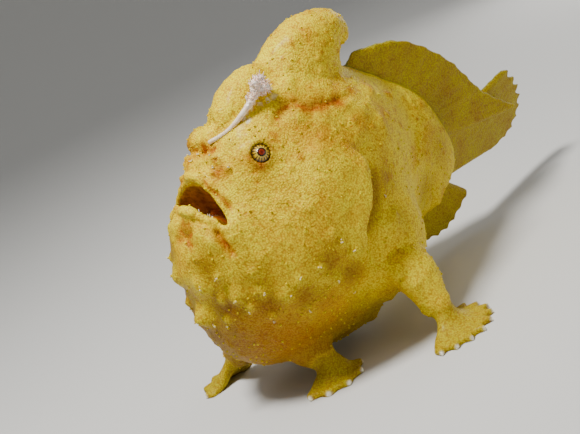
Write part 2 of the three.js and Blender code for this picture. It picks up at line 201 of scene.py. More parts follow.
def eye_fringe(tree, place):
    """A fringe of dark spokes on the skin round each eye, 1 on a spoke and 0 beside it."""
    total = 0.0
    for side in SIDES:
        across, up, _ = eye_turn(side).transposed()
        away = add_node(tree, "VectorMath", {0: place, 1: STAND @ on_side(EYE_CENTRE, side)},
                        operation="SUBTRACT").outputs["Vector"]
        right, over = [add_node(tree, "VectorMath", {0: away, 1: axis},
                                operation="DOT_PRODUCT").outputs["Value"]
                       for axis in (across, up)]
        spoke = add_node(tree, "Math", {0: over, 1: right}, operation="ARCTAN2").outputs[0]
        for operation, number in (("MULTIPLY", FRINGE_SPOKES), ("SINE", 0), ("ADD", 0.35)):
            spoke = add_node(tree, "Math", {0: spoke, 1: number}, operation=operation).outputs[0]
        distance = add_node(tree, "VectorMath", {0: away}, operation="LENGTH").outputs["Value"]
        reach = add_node(tree, "Math", {0: distance, 1: repeats(FRINGE_REACH)},
                         operation="MULTIPLY").outputs[0]
        band = add_node(tree, "ValToRGB", {"Fac": reach},
                        [(0.42, "#FFFFFF"), (0.5, "#B0B0B0"), (0.62, "#000000")])
        dark = add_node(tree, "Math", {0: spoke, 1: band.outputs["Color"]},
                        operation="MULTIPLY", use_clamp=True).outputs[0]
        total = add_node(tree, "Math", {0: total, 1: dark}, operation="ADD",
                         use_clamp=True).outputs[0]
    return total


def skin_material():
    """Frogfish skin: scaleless, thick and slimy, covered in fine soft grains. The grains
    give a velvet look with small wet glints, and the colour drifts from lemon to golden
    orange."""
    material, tree, shader = new_material("frogfish_skin_grainy_wet")
    place = add_node(tree, "TexCoord").outputs["Object"]
    marks = {name: add_node(tree, "Attribute", attribute_name=name).outputs["Fac"]
             for name in MARKS}
    blotch, speckle, patch, fleck = [
        add_node(tree, "TexNoise", {"Vector": place, "Scale": repeats(size), "Detail": detail,
                                    "Roughness": roughness}).outputs["Fac"]
        for size, detail, roughness in ((BLOTCH_SIZE, 4, 0.55), (SPECKLE_SIZE, 5, 0.7),
                                        (PATCH_SIZE, 4, 0.6), (FLECK_SIZE, 2, 0.5))]
    grain = add_node(tree, "TexVoronoi", {"Vector": place, "Scale": repeats(GRAIN_SIZE)})
    grain = grain.outputs["Distance"]
    base, speckles, between_grains, dark_flecks, mouth_lining = [
        add_node(tree, "ValToRGB", {"Fac": source}, stops).outputs["Color"]
        for source, stops in (
            (blotch, [(0.30, "#E4B400"), (0.42, "#F4DA00"), (0.54, "#FCEA00"),
                      (0.7, "#FFF400")]),
            (speckle, [(0.32, "#A87400"), (0.46, "#F8DC00"), (0.64, "#FFFF00")]),
            (grain, [(0.15, "#FFFFFF"), (0.8, "#C08C00")]),
            (fleck, [(0.3, "#FFFFFF"), (0.36, "#000000")]),
            (patch, [(0.35, "#8A5606"), (0.6, "#C88C14")]))]
    # each layer lies over the ones before it, by the product of its factors
    layers = [
        ("MIX", [0.3], speckles),
        # painted shade laid over the skin's colour where the shade mark lies; on the underside it
        # is partly the skin's own brown
        ("MIX", [marks["painted_shade_and_brown_ground"]], linear("#855800")),
        ("MIX", [marks["lump"], 0.75], linear("#E6DC00")),
        # orange-brown patches of the skin, and in a few places painted shade below the eyes and on
        # the belly
        ("MIX", [marks["orange"], patch, 1.9], linear("#C27600")),
        # the fins a darker olive, partly their own tone and partly painted shade
        ("MIX", [marks["fin"], 0.55], linear("#6E5C00")),
        ("MIX", [marks["margin"], 0.6], linear("#6E9450")),
        ("MULTIPLY", [0.75], between_grains),
        ("MIX", [dark_flecks, marks["orange"]], linear("#5A2A00")),
        ("MIX", [eye_fringe(tree, place), 0.8], linear("#3A2200")),
        # pale: the real white tips of warts, cirri and rays, and the painted glints beside the
        # lure
        ("MIX", [marks["pale"]], linear("#FAF4DC")),
        ("MIX", [marks["inner"]], mouth_lining),
    ]
    for blend, (amount, *factors), colour in layers:
        for factor in factors:
            amount = add_node(tree, "Math", {0: amount, 1: factor}, operation="MULTIPLY",
                              use_clamp=True).outputs[0]
        base = add_node(tree, "Mix", {AMOUNT: amount, BELOW: base, ABOVE: colour},
                        data_type="RGBA", blend_type=blend).outputs[MIXED]
    roughness = add_node(tree, "MapRange", {"Value": speckle, "To Min": 0.42, "To Max": 0.62})
    lumps = add_node(tree, "Math", {0: speckle, 1: 1.5}, operation="MULTIPLY")
    height = add_node(tree, "Math", {0: grain, 1: -0.8, 2: lumps.outputs[0]},
                      operation="MULTIPLY_ADD")
    bump = add_node(tree, "Bump", {"Height": height.outputs[0], "Strength": 1.0,
                                   "Distance": GRAIN_DEPTH * MM})
    feed(tree, shader, {
        "Base Color": base, "Roughness": roughness.outputs["Result"],
        "Normal": bump.outputs["Normal"], "IOR": 1.4, "Specular IOR Level": 0.2,
        "Subsurface Weight": 0.05, "Subsurface Radius": (1.6 * MM, 1.1 * MM, 0.1 * MM),
        "Subsurface Scale": 1.0, "Coat Weight": 0.05, "Coat Roughness": 0.2})
    return material


def eye_material():
    """A living eye: a clear wet cornea over a golden iris with dark spokes and a small
    red-brown pupil."""
    material, tree, shader = new_material("eye_wet_cornea_over_iris")
    gaze, spoke = [add_node(tree, "Attribute", attribute_name=name).outputs["Fac"]
                   for name in ("gaze", "turn")]
    for operation, number in (("MULTIPLY", 2 * math.pi * IRIS_SPOKES), ("SINE", 0),
                              ("ADD", 0.15)):
        spoke = add_node(tree, "Math", {0: spoke, 1: number}, operation=operation).outputs[0]
    rings, iris = [add_node(tree, "ValToRGB", {"Fac": gaze}, stops).outputs["Color"] for stops in (
        [(0.0, "#4A1002"), (0.13, "#8A2804"), (0.17, "#100804"), (0.22, "#1A1006"),
         (0.26, "#D0B040"), (0.40, "#C8A010"), (0.50, "#6A4808"), (0.60, "#2A1A06")],
        [(0.25, "#000000"), (0.32, "#FFFFFF")])]
    for factor in (2.0, iris, 0.85):
        spoke = add_node(tree, "Math", {0: spoke, 1: factor}, operation="MULTIPLY",
                         use_clamp=True).outputs[0]
    colour = add_node(tree, "Mix", {AMOUNT: spoke, BELOW: rings, ABOVE: linear("#1E1204")},
                      data_type="RGBA")
    feed(tree, shader, {"Base Color": colour.outputs[MIXED], "Roughness": 0.25,
                        "Specular IOR Level": 0.3, "Coat Weight": 0.4, "Coat Roughness": 0.08})
    return material


def wet_flesh_material():
    """The soft lining and tongue inside the mouth: smooth, wet, orange-brown flesh."""
    material, tree, shader = new_material("mouth_flesh_wet")
    place = add_node(tree, "TexCoord").outputs["Object"]
    cloud = add_node(tree, "TexNoise", {"Vector": place, "Scale": repeats(FLESH_CLOUD_SIZE),
                                        "Detail": 4.0})
    colour = add_node(tree, "ValToRGB", {"Fac": cloud.outputs["Fac"]},
                      [(0.35, "#A04A04"), (0.6, "#D07800")])
    feed(tree, shader, {"Base Color": colour.outputs["Color"], "Roughness": 0.35,
                        "Specular IOR Level": 0.3, "Coat Weight": 0.15})
    return material


def tooth_material():
    """Small teeth of dentine under enamel: pale, hard and shiny."""
    material, tree, shader = new_material("teeth_enamel")
    place = add_node(tree, "TexCoord").outputs["Object"]
    cloud = add_node(tree, "TexNoise", {"Vector": place, "Scale": repeats(TOOTH_CLOUD_SIZE)})
    colour = add_node(tree, "ValToRGB", {"Fac": cloud.outputs["Fac"]},
                      [(0.3, "#E4D9B8"), (0.7, "#FBF6E6")])
    feed(tree, shader, {"Base Color": colour.outputs["Color"], "Roughness": 0.25})
    return material


def lure_material():
    """The rod and lure: thin, pale, slightly see-through skin with a few brown flecks, a
    little more yellow at the rod's root."""
    material, tree, shader = new_material("lure_pale_skin")
    place = add_node(tree, "TexCoord").outputs["Object"]
    cloud = add_node(tree, "TexNoise", {"Vector": place, "Scale": repeats(LURE_FLECK_SIZE),
                                        "Detail": 3.0})
    colour = add_node(tree, "ValToRGB", {"Fac": cloud.outputs["Fac"]},
                      [(0.2, "#8A3A1A"), (0.25, "#F0BFA4"), (0.62, "#FFEADC")])
    colour = colour.outputs["Color"]
    rod = add_node(tree, "Mix", {AMOUNT: 0.5, BELOW: colour, ABOVE: linear("#E8DC9A")},
                   data_type="RGBA")
    reach = add_node(tree, "Attribute", attribute_name="reach")
    whole = add_node(tree, "Mix", {AMOUNT: reach.outputs["Fac"], BELOW: rod.outputs[MIXED],
                                   ABOVE: colour}, data_type="RGBA")
    feed(tree, shader, {"Base Color": whole.outputs[MIXED], "Roughness": 0.35,
                        "Subsurface Weight": 0.3,
                        "Subsurface Radius": (1.5 * MM, 1.2 * MM, 0.8 * MM)})
    return material


# Small helpers for objects and meshes
def pick(*objects):
    """Selects these objects and no others, and makes the first one active."""
    bpy.ops.object.select_all(action="DESELECT")
    for obj in objects:
        obj.select_set(True)
    bpy.context.view_layer.objects.active = objects[0]


def link_object(name, mesh):
    obj = bpy.data.objects.new(name, mesh)
    bpy.context.collection.objects.link(obj)
    return obj


def apply_modifier(obj, kind, **settings):
    pick(obj)
    modifier = obj.modifiers.new(kind.lower(), kind)
    for name, value in settings.items():
        setattr(modifier, name, value)
    bpy.ops.object.modifier_apply(modifier=modifier.name)


def set_material(mesh, material):
    mesh.materials.clear()
    mesh.materials.append(material)


def read_points(mesh, field="co"):
    """The places, or with the field "normal" the normals, of all points, one in a row."""
    flat = np.empty(len(mesh.vertices) * 3)
    mesh.vertices.foreach_get(field, flat)
    return flat.reshape(-1, 3)


def write_points(mesh, points):
    mesh.vertices.foreach_set("co", points.ravel())
    mesh.update()


def push_out(mesh, lift):
    """Moves each point along its normal, by metres."""
    write_points(mesh, read_points(mesh) + read_points(mesh, "normal") * lift)


def store(mesh, name, values):
    """A value from 0 to 1 on each point, for the material to read."""
    layer = mesh.attributes.get(name) or mesh.attributes.new(name, "FLOAT", "POINT")
    layer.data.foreach_set("value", np.clip(values, 0, 1).astype(np.float32))


def to_fish(points):
    """World points in metres, in the fish's own frame in mm."""
    back = np.array(STAND.inverted())
    return points @ back[:3, :3].T + back[:3, 3]


def normals_in_fish(mesh):
    return read_points(mesh, "normal") @ np.array(STAND_TURN)


def smoothstep(low, high, values):
    """0 at low, 1 at high and smooth between; low may be the greater of the two."""
    t = np.clip((values - low) / (high - low), 0, 1)
    return t * t * (3 - 2 * t)


def bell(distance, radius, steepness=1.0):
    """1 at the middle and falling smoothly to nothing outside the radius."""
    return np.exp(-steepness * (distance / radius) ** 2)


def search_tree(points):
    """A tree that finds the points near a place."""
    tree = KDTree(len(points))
    for i, p in enumerate(points):
        tree.insert(p, i)
    tree.balance()
    return tree


def face_tree(objects):
    """One search tree over the faces of several meshes."""
    points = []
    faces = []
    for obj in objects:
        start = len(points)
        points.extend(v.co.copy() for v in obj.data.vertices)
        faces.extend([start + i for i in f.vertices] for f in obj.data.polygons)
    return BVHTree.FromPolygons(points, faces)


def distances_to(tree, points):
    return np.array([tree.find_nearest(Vector(p))[3] for p in points])


def neighbours(mesh):
    """The two ends of each edge, and how many neighbours each point has."""
    ends = np.empty(len(mesh.edges) * 2, int)
    mesh.edges.foreach_get("vertices", ends)
    first, second = ends.reshape(-1, 2).T
    return first, second, np.bincount(ends, minlength=len(mesh.vertices))


def sum_beside(first, second, values):
    """The sum of a value over each point's neighbours."""
    return (np.bincount(first, values[second], len(values))
            + np.bincount(second, values[first], len(values)))


def relax(mesh, rounds, hold):
    """Evens the mesh out; points with a hold of 1 stay where they are."""
    first, second, count = neighbours(mesh)
    points = read_points(mesh)
    move = (0.6 * (1 - hold))[:, None]
    for _ in range(rounds):
        total = np.stack([sum_beside(first, second, points[:, axis]) for axis in range(3)],
                         axis=1)
        points += (total / count[:, None] - points) * move
    write_points(mesh, points)


def spread(mesh, values, rounds):
    """Blurs a value over the surface."""
    first, second, count = neighbours(mesh)
    for _ in range(rounds):
        values = 0.5 * values + 0.5 * sum_beside(first, second, values) / count
    return values


# The skin starts as one even surface over all the nodes of flesh, with no seam between them
FLESH = ["head", "lower_jaw", "torso", "tail", "second_spine", "third_spine",
         "dorsal_fin", "caudal_fin", "anal_fin",
         "pectoral_arm_left", "pectoral_arm_right", "pectoral_fin_left", "pectoral_fin_right",
         "pelvic_leg_left", "pelvic_leg_right", "pelvic_fin_left", "pelvic_fin_right"]
FINS = [name for name in FLESH if name.endswith("fin") or "_fin_" in name]
SEAM_FILL = 0.45 * MM
SKIN_VOXEL = 0.95 * MM
SKIN_ROUNDS = 14
FIN_HOLD = 0.6
KEPT_FACES = 0.66


def flesh_copy(name):
    """A copy of a CAD node, merged and swollen enough to close the seam beside it."""
    obj = link_object("flesh_" + name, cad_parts[name].data.copy())
    pick(obj)
    bpy.ops.object.mode_set(mode="EDIT")
    bpy.ops.mesh.select_all(action="SELECT")
    bpy.ops.mesh.remove_doubles(threshold=0.001 * MM)
    bpy.ops.object.mode_set(mode="OBJECT")
    push_out(obj.data, SEAM_FILL)
    return obj


def wrap_flesh():
    """The skin over all flesh, and for each of its points how far it belongs to a fin."""
    copies = {name: flesh_copy(name) for name in FLESH}
    fins = face_tree([copies[name] for name in FINS])
    pick(*copies.values())
    bpy.ops.object.join()
    skin = bpy.context.object
    skin.name = skin.data.name = "skin"
    apply_modifier(skin, "REMESH", mode="VOXEL", voxel_size=SKIN_VOXEL, use_smooth_shade=True)
    on_fin = 1 - smoothstep(0.5 * MM, 5 * MM, distances_to(fins, read_points(skin.data)))
    relax(skin.data, SKIN_ROUNDS, FIN_HOLD * on_fin)
    set_material(skin.data, skin_material())
    return skin, on_fin


# Each foot is a fan of rays round its ankle: the side it is on, the ankle's x and y, the
# reach of its rays in mm, the angles of its first and last ray in degrees, how many rays it
# has, and how far round the ankle the limb is softened
Foot = namedtuple("Foot", "side ankle reach first last rays softened")
FEET = [
    Foot(LEFT, (68, 116), 27, -50, 105, 9, 20), Foot(RIGHT, (66, 128), 27, -50, 105, 9, 20),
    Foot(LEFT, (32, 78), 20, -85, 70, 5, 16), Foot(RIGHT, (32, 70), 20, -85, 70, 5, 16),
]
FOOT_ROUNDING = 0.14
RAY_TIP_HEIGHT = 1.2
RAY_TIP_RADIUS = 1.7
ANKLE_HEIGHT = 12
ANKLE_ROUNDS = 60
SOLE_THICKNESS = (2.5 * MM, 6 * MM)


def over_floor(x, y, height):
    """The point over x, y of the fish's frame that stands this many mm above the floor."""
    floor_point = STAND @ Vector((x, y, 0))
    rise = (STAND.to_3x3() @ Vector((0, 0, 1))).z
    return Vector((x, y, (height * MM - floor_point.z) / rise))


def soften_ankles(mesh):
    """Lets each limb run into its foot without a step; the soles stay as they are."""
    points = read_points(mesh)
    near = np.zeros(len(points))
    for foot in FEET:
        x, y = foot.ankle
        ankle = np.array(over_floor(foot.side * x, y, ANKLE_HEIGHT))
        distance = np.linalg.norm(to_fish(points) - ankle, axis=1)
        near = np.maximum(near, smoothstep(foot.softened, 0.5 * foot.softened, distance))
    near *= smoothstep(*SOLE_THICKNESS, points[:, 2])
    relax(mesh, ANKLE_ROUNDS, 1 - near)


def ray_tips(foot):
    """The tips of a foot's rays, which are longest in the middle of the fan."""
    for ray in range(foot.rays):
        s = (ray + 0.5) / foot.rays
        turn = math.radians(foot.first + (foot.last - foot.first) * s)
        length = foot.reach * (1 - FOOT_ROUNDING + FOOT_ROUNDING * math.sin(math.pi * s))
        yield over_floor(foot.side * (foot.ankle[0] + length * math.cos(turn)),
                         foot.ankle[1] + length * math.sin(turn), RAY_TIP_HEIGHT)


skin, on_fin = wrap_flesh()
soften_ankles(skin.data)


# What is sculpted in the skin. Places seen in the photograph are given as pixels, and land on
# the skin where the camera's ray through the pixel meets it. The other side of the fish gets
# a mirrored copy.
class Sculpture:
    """The skin's points in the fish's frame, with the tools that raise and mark them."""

    def __init__(self, obj):
        self.obj = obj
        self.mesh = obj.data
        self.marks = {name: np.zeros(len(self.mesh.vertices)) for name in MARKS}
        self.look()
        self.refresh()

    def look(self):
        """Takes the skin as it is now as what the camera's rays meet."""
        self.tree = BVHTree.FromObject(self.obj, bpy.context.evaluated_depsgraph_get())

    def refresh(self):
        """Reads the points and normals again, after they have been moved."""
        self.world = read_points(self.mesh)
        self.fish = to_fish(self.world)
        self.normals = normals_in_fish(self.mesh)
        self.lift = np.zeros(len(self.world))
        self.finder = search_tree(self.fish)

    def apply(self):
        """Moves every point by its lift, in mm along its normal."""
        push_out(self.mesh, (self.lift * MM)[:, None])
        self.refresh()

    def at_pixel(self, u, v):
        """Where the camera sees the skin through a pixel, in the fish's frame, or None."""
        hit = self.tree.ray_cast(*pixel_ray(u, v))[0]
        return None if hit is None else STAND.inverted() @ hit

    def nearest(self, place):
        """The place on the skin nearest to a place, both in the fish's frame."""
        return STAND.inverted() @ self.tree.find_nearest(STAND @ place)[0]

    def near(self, place, reach, side=LEFT):
        """Indices and distances in mm of the points within reach of a place."""
        found = []
        if place is not None:
            found = self.finder.find_range(on_side(place, side), reach)
        return np.array([f[1] for f in found], int), np.array([f[2] for f in found])

    def bump(self, place, radius, height, side=LEFT, mark=None, strength=1.0):
        """A soft round bump, and on it a mark for the material."""
        index, distance = self.near(place, radius * 1.6, side)
        shape = bell(distance, radius, 2.2)
        self.lift[index] += height * shape
        if mark:
            self.mark(mark, index, strength * shape)

    def mark(self, name, index, values):
        self.marks[name][index] = np.maximum(self.marks[name][index], values)

    def shift(self, pixels, reach, move):
        """Pulls the skin near a line by `move`, in mm of the fish's frame, on both sides."""
        amount = np.zeros(len(self.fish))
        for place in self.line(pixels, 1.5):
            for side in SIDES:
                index, distance = self.near(place, reach, side)
                amount[index] = np.maximum(amount[index], bell(distance, reach, 2.5))
        moved = self.fish + amount[:, None] * np.array(move)
        whole = np.array(STAND)
        write_points(self.mesh, moved @ whole[:3, :3].T + whole[:3, 3])
        self.refresh()

    def line(self, pixels, step=0.8):
        """A line over the skin through pixels, as points in the fish's frame."""
        points = []
        for (u0, v0), (u1, v1) in zip(pixels, pixels[1:]):
            count = max(2, int(math.hypot(u1 - u0, v1 - v0) / (PIXELS_PER_MM * step)))
            for i in range(count):
                t = i / count
                points.append(self.at_pixel(u0 + (u1 - u0) * t, v0 + (v1 - v0) * t))
        return [p for p in points if p is not None]

    def round_the_edge(self, points):
        """The line with its start carried on over the skin, past the edge of the view."""
        onward = list(points)
        for _ in range(EDGE_STEPS):
            step = (onward[0] - onward[3]).normalized()
            onward.insert(0, self.nearest(onward[0] + step))
        return onward

    def along(self, points, reach, profile, mark, strength, from_edge):
        """Shapes the skin beside a line: profile(across, s) gives the lift in mm at a signed
        distance across the line, s of the way along it. A line that comes from the edge of
        the view keeps its full depth at its start, and has no mirrored copy."""
        centre = search_tree(points)
        last = len(points) - 1
        for side in ((LEFT,) if from_edge else SIDES):
            close = set()
            for p in points[::2]:
                close.update(self.near(p, reach * 1.3, side)[0].tolist())
            for i in close:
                place = on_side(self.fish[i], side)
                normal = on_side(self.normals[i], side)
                _, n, distance = centre.find(place)
                tangent = points[min(n + 1, last)] - points[max(n - 1, 0)]
                across = (place - points[n]).dot(tangent.cross(normal).normalized())
                across = math.copysign(min(distance, reach), across)
                s = n / last
                end = 1 - s if from_edge else min(s, 1 - s)
                fade = min(1, 6 * end + 0.05) * max(0, 1 - (distance / reach) ** 4)
                self.lift[i] += profile(across, s) * fade
                if mark:
                    self.mark(mark, i, strength * fade * bell(distance, 0.35 * reach))


def groove(depth, width):
    return lambda across, s: -depth * bell(across, width)


def overhang(height, front, behind):
    """A fold whose one side bulges over the other."""
    def profile(across, s):
        if across > 0:
            return height * bell(across, front)
        return -1.4 * height * bell(across + 0.5 * behind, 0.55 * behind)
    return profile


def ragged(height, width):
    """A raised edge, torn into small teeth."""
    def profile(across, s):
        tooth = 0.6 + 0.4 * math.sin(70 * s) * math.sin(23 * s + 1)
        return height * tooth * bell(across, width)
    return profile


CHEEK_EDGE = [(352, 146), (360, 158), (365, 172), (367, 190), (367, 206), (362, 226),
              (363, 244), (368, 262), (371, 277)]
BEHIND_CHEEK = [(371, 160), (377, 175), (378, 192), (376, 208), (371, 228), (372, 246)]
FLANK_EDGE = [(401, 86), (408, 98), (414, 111), (418, 127), (418, 142), (416, 158), (414, 170),
              (421, 180)]
LIP_GROOVE = [(203, 176), (206, 184), (212, 191), (219, 196), (228, 204), (235, 214)]
JAW_SLIT = [(213, 228), (218, 236), (225, 245), (232, 253), (238, 258)]
CHIN_CREASE = [(178, 227), (182, 236), (187, 243), (196, 249)]
UPPER_ROLL = [(181, 181), (187, 178), (195, 177), (204, 181), (212, 187), (221, 196), (229, 208)]
LOWER_ROLL = [(177, 210), (184, 211), (192, 213), (200, 216), (209, 220), (218, 226)]
LOWER_LIP = [(179, 204), (184, 202), (190, 204), (197, 206), (204, 209), (212, 213),
             (220, 217), (228, 223), (234, 230)]
UPPER_LIP = [(180, 186), (187, 183), (195, 182), (203, 185), (211, 191), (220, 200),
             (229, 212)]
BROW_LOBE = [(213, 118), (211, 128), (208, 138), (205, 147)]
BROW_CREASE = [(268, 128), (276, 120), (282, 110), (290, 103), (300, 106), (312, 109),
               (322, 104), (336, 101), (347, 95), (352, 88)]
SNOUT_CREASE = [(204, 148), (211, 150), (218, 146)]
NOTCH = [(190, 150), (195, 151), (201, 152), (208, 152)]
HIGH_NOTCH = [(204, 122), (208, 121), (215, 119)]
ARM_CREASE = [(384, 262), (392, 252), (402, 247)]
ELBOW_CREASE = [(396, 284), (404, 276), (412, 270)]
# what follows each line: pixels, reach in mm, profile, and the mark and its strength
LINES = [
    (CHEEK_EDGE, 18, overhang(3.2, 8, 9), None, 0),
    (FLANK_EDGE, 12, overhang(1.1, 5, 8), None, 0),
    (FLANK_EDGE, 5, ragged(2.2, 1.8), None, 0),
    (LIP_GROOVE, 4, groove(1.5, 1.3), "orange", 0.9),
    (UPPER_ROLL, 4, groove(-1.1, 1.7), None, 0),
    (LOWER_ROLL, 4, ragged(1.5, 1.8), None, 0),
    (JAW_SLIT, 6, groove(2.4, 1.5), "orange", 1.0),
    (CHIN_CREASE, 5, groove(1.2, 2.0), "orange", 1.0),
    (BROW_CREASE, 6, groove(1.3, 2.4), "orange", 1.1),
    (SNOUT_CREASE, 4, groove(1.0, 1.6), "orange", 1.2),
    (BROW_LOBE, 5, groove(2.0, 1.5), None, 0),
    (NOTCH, 8, groove(5.0, 2.8), "orange", 0.5),
    (HIGH_NOTCH, 9, groove(4.6, 3.6), None, 0),
    (ARM_CREASE, 5, groove(1.0, 1.5), None, 0),
    (ELBOW_CREASE, 5, groove(0.9, 1.3), None, 0),
    # painted shadow behind the cheek fold, beside a shallow groove
    (BEHIND_CHEEK, 14, groove(0.8, 5), "painted_shade_and_brown_ground", 0.75),
]
# the lines that come round the edge of the view, and how many mm behind it they start
FROM_EDGE = [NOTCH, HIGH_NOTCH]
EDGE_STEPS = 14
# how far the lips are pulled apart: the pixels of the line, reach and move in mm
LIP_PULLS = [(LOWER_LIP[:6], 9, (0, 0.5, -3.2)), (UPPER_LIP[:5], 7, (0, -0.3, 2.2))]
# soft mounds: pixel, radius and height in mm
MOUNDS = [
    (203, 287, 7, 3.4), (204, 315, 7, 3.4), (237, 297, 6, 2.8), (262, 291, 5, 2.4),
    (286, 295, 7, 3.2), (300, 280, 4, 1.8), (353, 250, 6, 2.8), (340, 243, 4, 1.8),
    (366, 264, 3, 1.6), (337, 277, 3.6, 2.0), (353, 286, 3.8, 2.0), (251, 307, 3.6, 2.0),
    (228, 320, 3.6, 2.0), (273, 315, 3.6, 2.0), (310, 305, 3, 1.6), (219, 277, 3.6, 1.8),
    (320, 268, 3.6, 1.6), (254, 272, 3, 1.4), (333, 232, 3, 1.2), (222, 300, 4, 1.6),
    (188, 158, 2.4, 1.5), (195, 154, 2.0, 1.2), (200, 162, 1.8, 1.0), (217, 160, 3.0, 1.5),
    (216.5, 159.5, 1.3, -2.0), (198, 134, 5, 1.2), (190, 167, 2, 1.3), (199, 167, 2, 0.9),
    (205, 160, 2, 0.8), (298, 118, 7, 1.5), (324, 121, 8, 1.2), (362, 112, 6, 1.0),
    (385, 130, 6, 1.0), (345, 165, 8, 0.8), (212, 243, 5.5, 1.8), (232, 238, 4, 1.2),
    (200, 236, 6, 1.2), (190, 216, 4, 1.0), (385, 225, 5, 0.7), (240, 110, 5, 0.5),
]
# a mound of this height or more is marked in full as a lump
FULL_LUMP = 1.6
# a little taken off or put on where the camera looks along the skin: place in the fish's
# frame, radius and height in mm
EDGE_MOUNDS = [
    ((-19, 38, 42), 9, -3.2), ((-20, 35, 30), 3, 1.8), ((-17, 31, 28), 2.6, 1.6),
    ((-22, 37, 26), 2.6, 1.4), ((-15, 27, 22), 3.4, 1.4),
]
# coloured spots by mark: pixel, radius in mm and strength
SPOTS = {
    # orange-brown patches; a few of them are painted shade, as noted below
    "orange": [
        (216.5, 159.5, 1.5, 1.3), (211, 151, 5, 1.0), (219, 171, 5.5, 0.9),
        # the spots at (258, 167) and (248, 160) are painted shadow below the eye
        (228, 170, 3, 0.6), (216, 161, 2.5, 0.9), (258, 167, 6, 0.9), (248, 160, 4, 0.8),
        (257, 181, 3, 0.7), (254, 192, 3, 0.5), (291, 103, 7, 0.9), (306, 108, 6, 1.0),
        (320, 104, 7, 1.0), (337, 101, 6, 0.9), (351, 90, 4, 0.9), (279, 122, 4, 0.6),
        (276, 136, 4, 0.6), (302, 132, 12, 0.45), (326, 136, 12, 0.6), (346, 142, 10, 0.6),
        (362, 122, 9, 0.5), (383, 112, 6, 0.5), (380, 150, 10, 0.4), (350, 216, 5, 0.5),
        # the spots at (280, 335) and (330, 310), wide and low on the belly, are partly painted
        # shade
        (189, 226, 4, 0.6), (200, 222, 4, 0.4), (280, 335, 30, 0.5), (330, 310, 20, 0.45),
        (205, 215, 5, 0.3), (312, 228, 18, 0.35), (290, 200, 12, 0.25),
    ],
    # brownish ground between the mounds of the underside, and in the nostril
    # painted shade: the shadow behind the cheek fold, the darker rear of the body, and the dark of
    # the nostril pit and the chin's crease; on the underside, the brownish ground between the
    # mounds, partly the skin's own brown and partly painted shade
    "painted_shade_and_brown_ground": [
        (216.5, 159.5, 1.1, 1.2), (205, 266, 13, 0.75), (250, 270, 12, 0.5),
        (230, 308, 16, 0.9), (270, 304, 16, 0.85), (303, 298, 14, 0.8), (330, 262, 12, 0.7),
        (350, 272, 13, 0.8), (216, 248, 8, 0.4), (184, 230, 6, 0.7), (205, 328, 14, 0.8),
        (240, 333, 18, 0.8), (385, 178, 10, 0.6), (290, 325, 20, 0.6), (325, 300, 14, 0.6),
        (438, 110, 16, 0.35), (440, 148, 16, 0.4), (425, 190, 14, 0.45), (400, 215, 10, 0.35),
        (192, 240, 5, 0.4),
    ],
}
# painted glints: small pale flecks beside the lure, painted as highlights on the wet skin
PAINTED_GLINTS = [(262, 93), (267, 99), (259, 104), (251, 107), (247, 112), (243, 118), (263, 87),
          (269, 89), (273, 95), (256, 98), (254, 103), (248, 121)]
# the dark ring of the lids: how far in front of the eye's centre it lies, its radius, its
# width, and how far from that place it is looked for
LID_FORWARD = 3
LID_RADIUS = 5.5
LID_WIDTH = 1.3
LID_REACH = 14
# the back fin lies behind and above these mm of the fish's frame
BACK_FIN_BEHIND = 112
BACK_FIN_ABOVE = 34
# the box round the mouth in the fish's frame, and the longest way across the open mouth
MOUTH_LOW = (-25, 14, -14)
MOUTH_HIGH = (25, 56, 28)
MOUTH_SPAN = 30
# warts over the whole skin, from broad low ones to fine ones: count, radius and height in mm
WARTS = [(90, 6.0, 1.2), (380, 3.2, 0.7), (2200, 1.7, 0.35)]
# some of the warts under this radius are tinted, behind and above these mm of the fish's frame
TINTED_RADIUS = 4
TINTED_BEHIND = 55
TINTED_ABOVE = 20
TINTED_SHARE = 0.35
SEED = 7


def inner_mouth():
    """1 on points inside the mouth, whose way out is blocked by its other side, 0 outside."""
    inner = np.zeros(len(work.fish))
    close = ((work.fish > MOUTH_LOW) & (work.fish < MOUTH_HIGH)).all(axis=1)
    normals = read_points(work.mesh, "normal")
    for i in np.where(close)[0]:
        out = Vector(normals[i])
        start = Vector(work.world[i]) + out * 0.3 * MM
        inner[i] = work.tree.ray_cast(start, out, MOUTH_SPAN * MM)[0] is not None
    return smoothstep(0.45, 0.95, spread(work.mesh, inner, 3))


def calm_places():
    """0 by the lure's rod and on the rims of the eyes, which nothing may bury; 1 elsewhere."""
    rod = face_tree([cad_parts["illicium"]])
    calm = smoothstep(1 * MM, 4 * MM, distances_to(rod, work.world))
    for side in SIDES:
        centre = np.array(on_side(EYE_CENTRE, side))
        calm *= smoothstep(6.5, 10.5, np.linalg.norm(work.fish - centre, axis=1))
    return calm


def raise_folds_and_mounds():
    """Every line, mound and coloured spot, and the dark rings of the lids."""
    for pixels, reach, profile, mark, strength in LINES:
        points = work.line(pixels)
        if pixels in FROM_EDGE:
            points = work.round_the_edge(points)
        work.along(points, reach, profile, mark, strength, pixels in FROM_EDGE)
    for u, v, radius, height in MOUNDS:
        place = work.at_pixel(u, v)
        for side in SIDES:
            work.bump(place, radius, height, side, "lump", min(1, height / FULL_LUMP))
    for place, radius, height in EDGE_MOUNDS:
        work.bump(work.nearest(Vector(place)), radius, height)
    for name, spots in SPOTS.items():
        for u, v, radius, strength in spots:
            place = work.at_pixel(u, v)
            for side in SIDES:
                index, distance = work.near(place, radius * 1.7, side)
                work.mark(name, index, strength * bell(distance, radius, 1.6))
    for side in SIDES:
        centre = on_side(EYE_CENTRE + EYE_GAZE.normalized() * LID_FORWARD, side)
        index, distance = work.near(centre, LID_REACH)
        work.mark("painted_shade_and_brown_ground", index, 0.5 * bell(distance - LID_RADIUS, LID_WIDTH))


